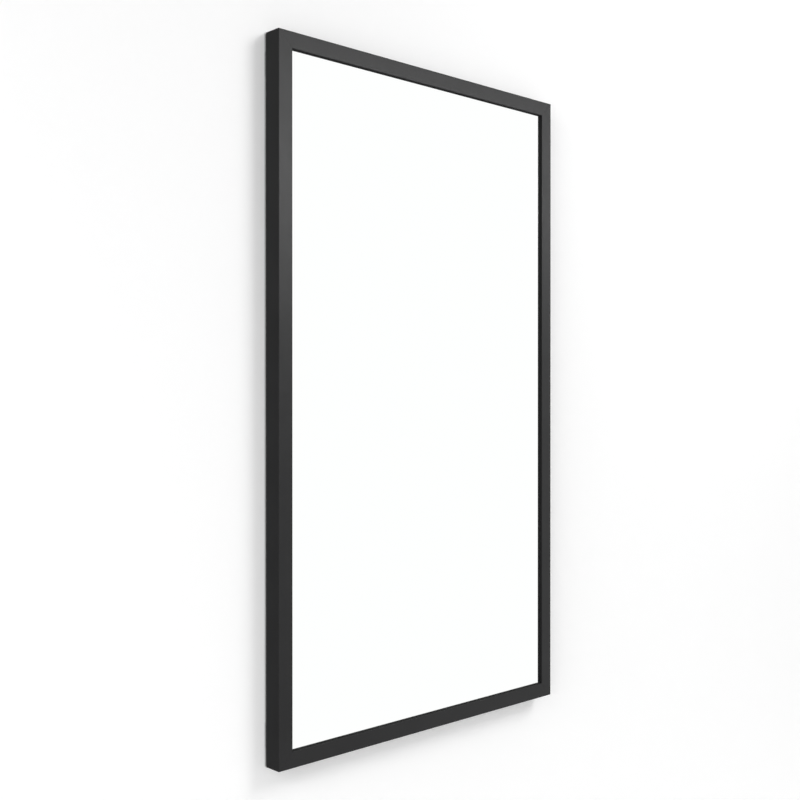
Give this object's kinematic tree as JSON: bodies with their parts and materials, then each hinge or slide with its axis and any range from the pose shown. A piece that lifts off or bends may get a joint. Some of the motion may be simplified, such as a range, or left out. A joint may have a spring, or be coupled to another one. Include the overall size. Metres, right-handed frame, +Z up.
{
  "type": "pull out closet mirror",
  "caption": "Slim black framed closet mirror that stows flush against a side panel and pulls out sideways on telescopic slides hidden inside the depth of its frame.",
  "frame": {"origin": "centre of the tie channel's rear face, on the plane of the wall or closet panel, behind the middle of the stowed mirror", "axes": "+X to the right as the mirror is looked at, +Y into the wall, +Z up; the mirror faces -Y and pulls out along -X"},
  "size_m": [0.572, 0.03, 1],
  "materials": {
    "frame_black": "satin black powder coat",
    "mirror_glass": "silvered float glass with ground edges",
    "backing_board": "hardboard",
    "foam_strip": "closed cell foam",
    "cast_key": "as cast",
    "zinc_steel": "bright zinc plate",
    "ball_cage": "bright strip with polished balls",
    "dark_screw": "black zinc",
    "rail_black": "fine textured black powder coat on steel",
    "bumper_rubber": "moulded matt",
    "pad_felt": "dense felt"
  },
  "bodies": {
    "wall_mount": {"upper_slide_outer_member": "zinc_steel", "lower_slide_outer_member": "zinc_steel", "upper_slide_bumper": "bumper_rubber", "lower_slide_bumper": "bumper_rubber", "upper_wall_rail": "rail_black", "lower_wall_rail": "rail_black", "tie_channel": "rail_black"},
    "mirror": {"left_stile": "frame_black", "right_stile": "frame_black", "top_rail": "frame_black", "bottom_rail": "frame_black", "corner_key_top_left": "cast_key", "corner_key_top_right": "cast_key", "corner_key_bottom_left": "cast_key", "corner_key_bottom_right": "cast_key", "grub_screw_top_left_stile": "dark_screw", "grub_screw_top_left_rail": "dark_screw", "grub_screw_top_right_stile": "dark_screw", "grub_screw_top_right_rail": "dark_screw", "grub_screw_bottom_left_stile": "dark_screw", "grub_screw_bottom_left_rail": "dark_screw", "grub_screw_bottom_right_stile": "dark_screw", "grub_screw_bottom_right_rail": "dark_screw", "mirror_glass": "mirror_glass", "backing_board": "backing_board", "glazing_strip_left": "foam_strip", "glazing_strip_right": "foam_strip", "glazing_strip_top": "foam_strip", "glazing_strip_bottom": "foam_strip", "board_clip_top_left": "zinc_steel", "board_clip_top_right": "zinc_steel", "board_clip_bottom_left": "zinc_steel", "board_clip_bottom_right": "zinc_steel", "clip_screw_top_left": "dark_screw", "clip_screw_top_right": "dark_screw", "clip_screw_bottom_left": "dark_screw", "clip_screw_bottom_right": "dark_screw", "upper_cross_rail": "rail_black", "lower_cross_rail": "rail_black", "cross_rail_screw_upper_left": "dark_screw", "cross_rail_screw_upper_right": "dark_screw", "cross_rail_screw_lower_left": "dark_screw", "cross_rail_screw_lower_right": "dark_screw", "upper_slide_inner_member": "zinc_steel", "lower_slide_inner_member": "zinc_steel", "slide_screw_upper_left": "dark_screw", "slide_screw_upper_right": "dark_screw", "slide_screw_lower_left": "dark_screw", "slide_screw_lower_right": "dark_screw", "glide_pad_top_left": "pad_felt", "glide_pad_top_right": "pad_felt", "glide_pad_bottom_left": "pad_felt", "glide_pad_bottom_right": "pad_felt"},
    "upper_intermediate": {"upper_slide_intermediate_member": "zinc_steel"},
    "lower_intermediate": {"lower_slide_intermediate_member": "zinc_steel"},
    "upper_outer_cage": {"upper_slide_outer_cage": "ball_cage"},
    "upper_inner_cage": {"upper_slide_inner_cage": "ball_cage"},
    "lower_outer_cage": {"lower_slide_outer_cage": "ball_cage"},
    "lower_inner_cage": {"lower_slide_inner_cage": "ball_cage"}
  },
  "joints": [
    {"name": "mirror_slide", "type": "slide", "parent": "wall_mount", "child": "mirror", "axis": [-1, 0, 0], "range_m": [0, 0.45]},
    {"name": "upper_intermediate_slide", "type": "slide", "parent": "wall_mount", "child": "upper_intermediate", "axis": [-1, 0, 0], "range_m": [0, 0.225]},
    {"name": "upper_outer_cage_slide", "type": "slide", "parent": "wall_mount", "child": "upper_outer_cage", "axis": [-1, 0, 0], "range_m": [0, 0.1125]},
    {"name": "upper_inner_cage_slide", "type": "slide", "parent": "wall_mount", "child": "upper_inner_cage", "axis": [-1, 0, 0], "range_m": [0, 0.3375]},
    {"name": "lower_intermediate_slide", "type": "slide", "parent": "wall_mount", "child": "lower_intermediate", "axis": [-1, 0, 0], "range_m": [0, 0.225]},
    {"name": "lower_outer_cage_slide", "type": "slide", "parent": "wall_mount", "child": "lower_outer_cage", "axis": [-1, 0, 0], "range_m": [0, 0.1125]},
    {"name": "lower_inner_cage_slide", "type": "slide", "parent": "wall_mount", "child": "lower_inner_cage", "axis": [-1, 0, 0], "range_m": [0, 0.3375]}
  ],
  "couplings": [
    {"joint": "upper_intermediate_slide", "follows": "mirror_slide", "ratio": 0.5},
    {"joint": "upper_outer_cage_slide", "follows": "mirror_slide", "ratio": 0.25},
    {"joint": "upper_inner_cage_slide", "follows": "mirror_slide", "ratio": 0.75},
    {"joint": "lower_intermediate_slide", "follows": "mirror_slide", "ratio": 0.5},
    {"joint": "lower_outer_cage_slide", "follows": "mirror_slide", "ratio": 0.25},
    {"joint": "lower_inner_cage_slide", "follows": "mirror_slide", "ratio": 0.75}
  ]
}
